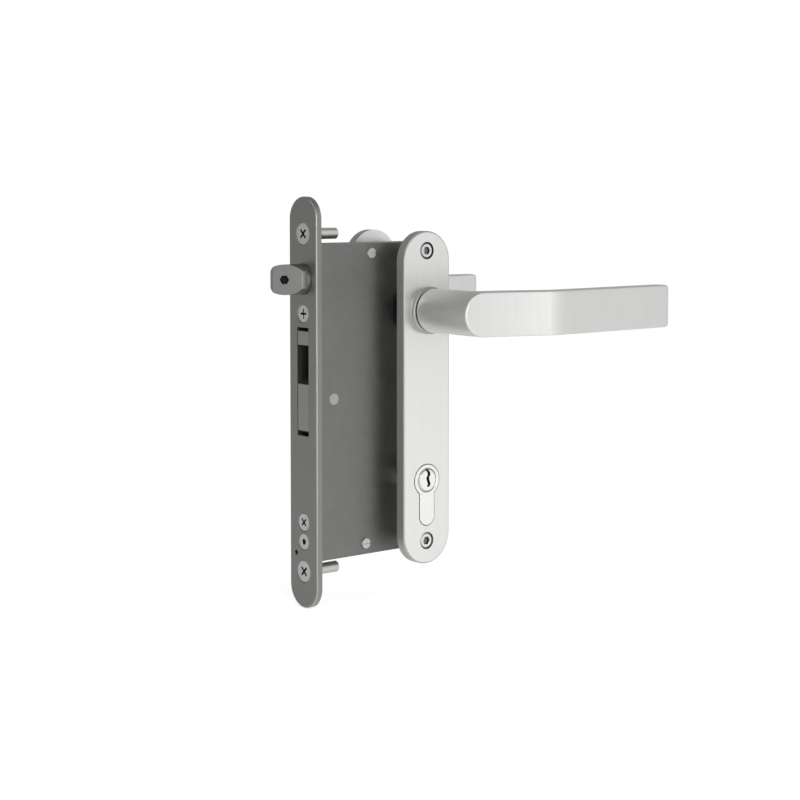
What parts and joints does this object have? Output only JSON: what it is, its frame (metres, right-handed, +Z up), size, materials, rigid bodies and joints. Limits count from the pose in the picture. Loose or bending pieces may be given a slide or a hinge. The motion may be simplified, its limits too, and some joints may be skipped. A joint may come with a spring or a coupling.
{
  "type": "mortise gate lock",
  "caption": "Mortise gate lock with sprung latch bolt, swinging hook bolt, profile cylinder, lever handles and cover shields on both sides of a hollow gate profile",
  "frame": {"origin": "on the back plane of the faceplate, midway between the two gate fixing screws", "axes": "+X runs from the gate's edge into the gate, -Y is the front side, +Z is up"},
  "size_m": [0.2068, 0.1726, 0.218],
  "materials": {
    "stainless_plate": "brushed stainless steel, lengthwise grain",
    "stainless_screw": "plain stainless steel",
    "case_steel": "bare stainless sheet",
    "bolt_steel": "fine ground stainless steel",
    "inner_steel": "zinc plated steel",
    "spring_steel": "stainless spring wire",
    "nickel_brass": "satin nickel plated brass",
    "anodised_aluminium": "satin silver anodised",
    "nylon": "black nylon"
  },
  "bodies": {
    "lock_case": {"faceplate": "stainless_plate", "gate_fixing_screws": "stainless_screw", "case_screws": "stainless_screw", "cylinder_screw": "stainless_screw", "case_body": "case_steel", "case_cover": "case_steel", "cover_screws": "stainless_screw", "cylinder_body": "nickel_brass", "follower_bushes": "nylon", "hook_pivot_pin": "inner_steel", "hook_spacers": "nylon", "slide_guide_pins": "inner_steel", "front_shield": "anodised_aluminium", "rear_shield": "anodised_aluminium", "shield_screws": "stainless_screw", "shield_sleeves": "stainless_screw", "front_collar": "anodised_aluminium", "rear_collar": "anodised_aluminium", "lever_washers": "nylon"},
    "handle_set": {"front_lever": "anodised_aluminium", "rear_lever": "anodised_aluminium", "spindle": "inner_steel", "follower": "inner_steel", "lever_grub_screws": "inner_steel", "follower_spring": "spring_steel"},
    "latch_set": {"latch_bolt": "bolt_steel", "latch_stem": "inner_steel", "latch_carriage": "inner_steel", "latch_drive_pin": "inner_steel", "latch_spring": "spring_steel"},
    "key_set": {"plug_front": "nickel_brass", "plug_rear": "nickel_brass", "cylinder_cam": "inner_steel"},
    "slide_set": {"hook_slide": "inner_steel"},
    "hook_set": {"hook_bolt": "bolt_steel", "hook_tail_pin": "inner_steel"}
  },
  "joints": [
    {"name": "handle_turn", "type": "hinge", "parent": "lock_case", "child": "handle_set", "pos_m": [0.06, 0, 0.048], "axis": [0, 1, 0], "range_deg": [0, 37], "stiffness_Nm_per_rad": 0.6, "springref_deg": -57.3, "deforming": ["follower_spring"]},
    {"name": "latch_slide", "type": "slide", "parent": "lock_case", "child": "latch_set", "axis": [1, 0, 0], "range_m": [0, 0.0162], "deforming": ["latch_spring"]},
    {"name": "key_turn", "type": "hinge", "parent": "lock_case", "child": "key_set", "pos_m": [0.06, 0, -0.044], "axis": [0, 1, 0], "range_deg": [0, 360]},
    {"name": "slide_lift", "type": "slide", "parent": "lock_case", "child": "slide_set", "axis": [0, 0, 1], "range_m": [0, 0.02404]},
    {"name": "hook_swing", "type": "hinge", "parent": "lock_case", "child": "hook_set", "pos_m": [0.0095, 0, 0.0023], "axis": [0, -1, 0], "range_deg": [0, 91]}
  ],
  "couplings": [
    {"joint": "latch_slide", "follows": "handle_turn", "m_per_rad": 0.025086},
    {"joint": "key_turn", "follows": "slide_lift", "rad_per_m": 261.3},
    {"joint": "hook_swing", "follows": "slide_lift", "rad_per_m": 65.33}
  ]
}
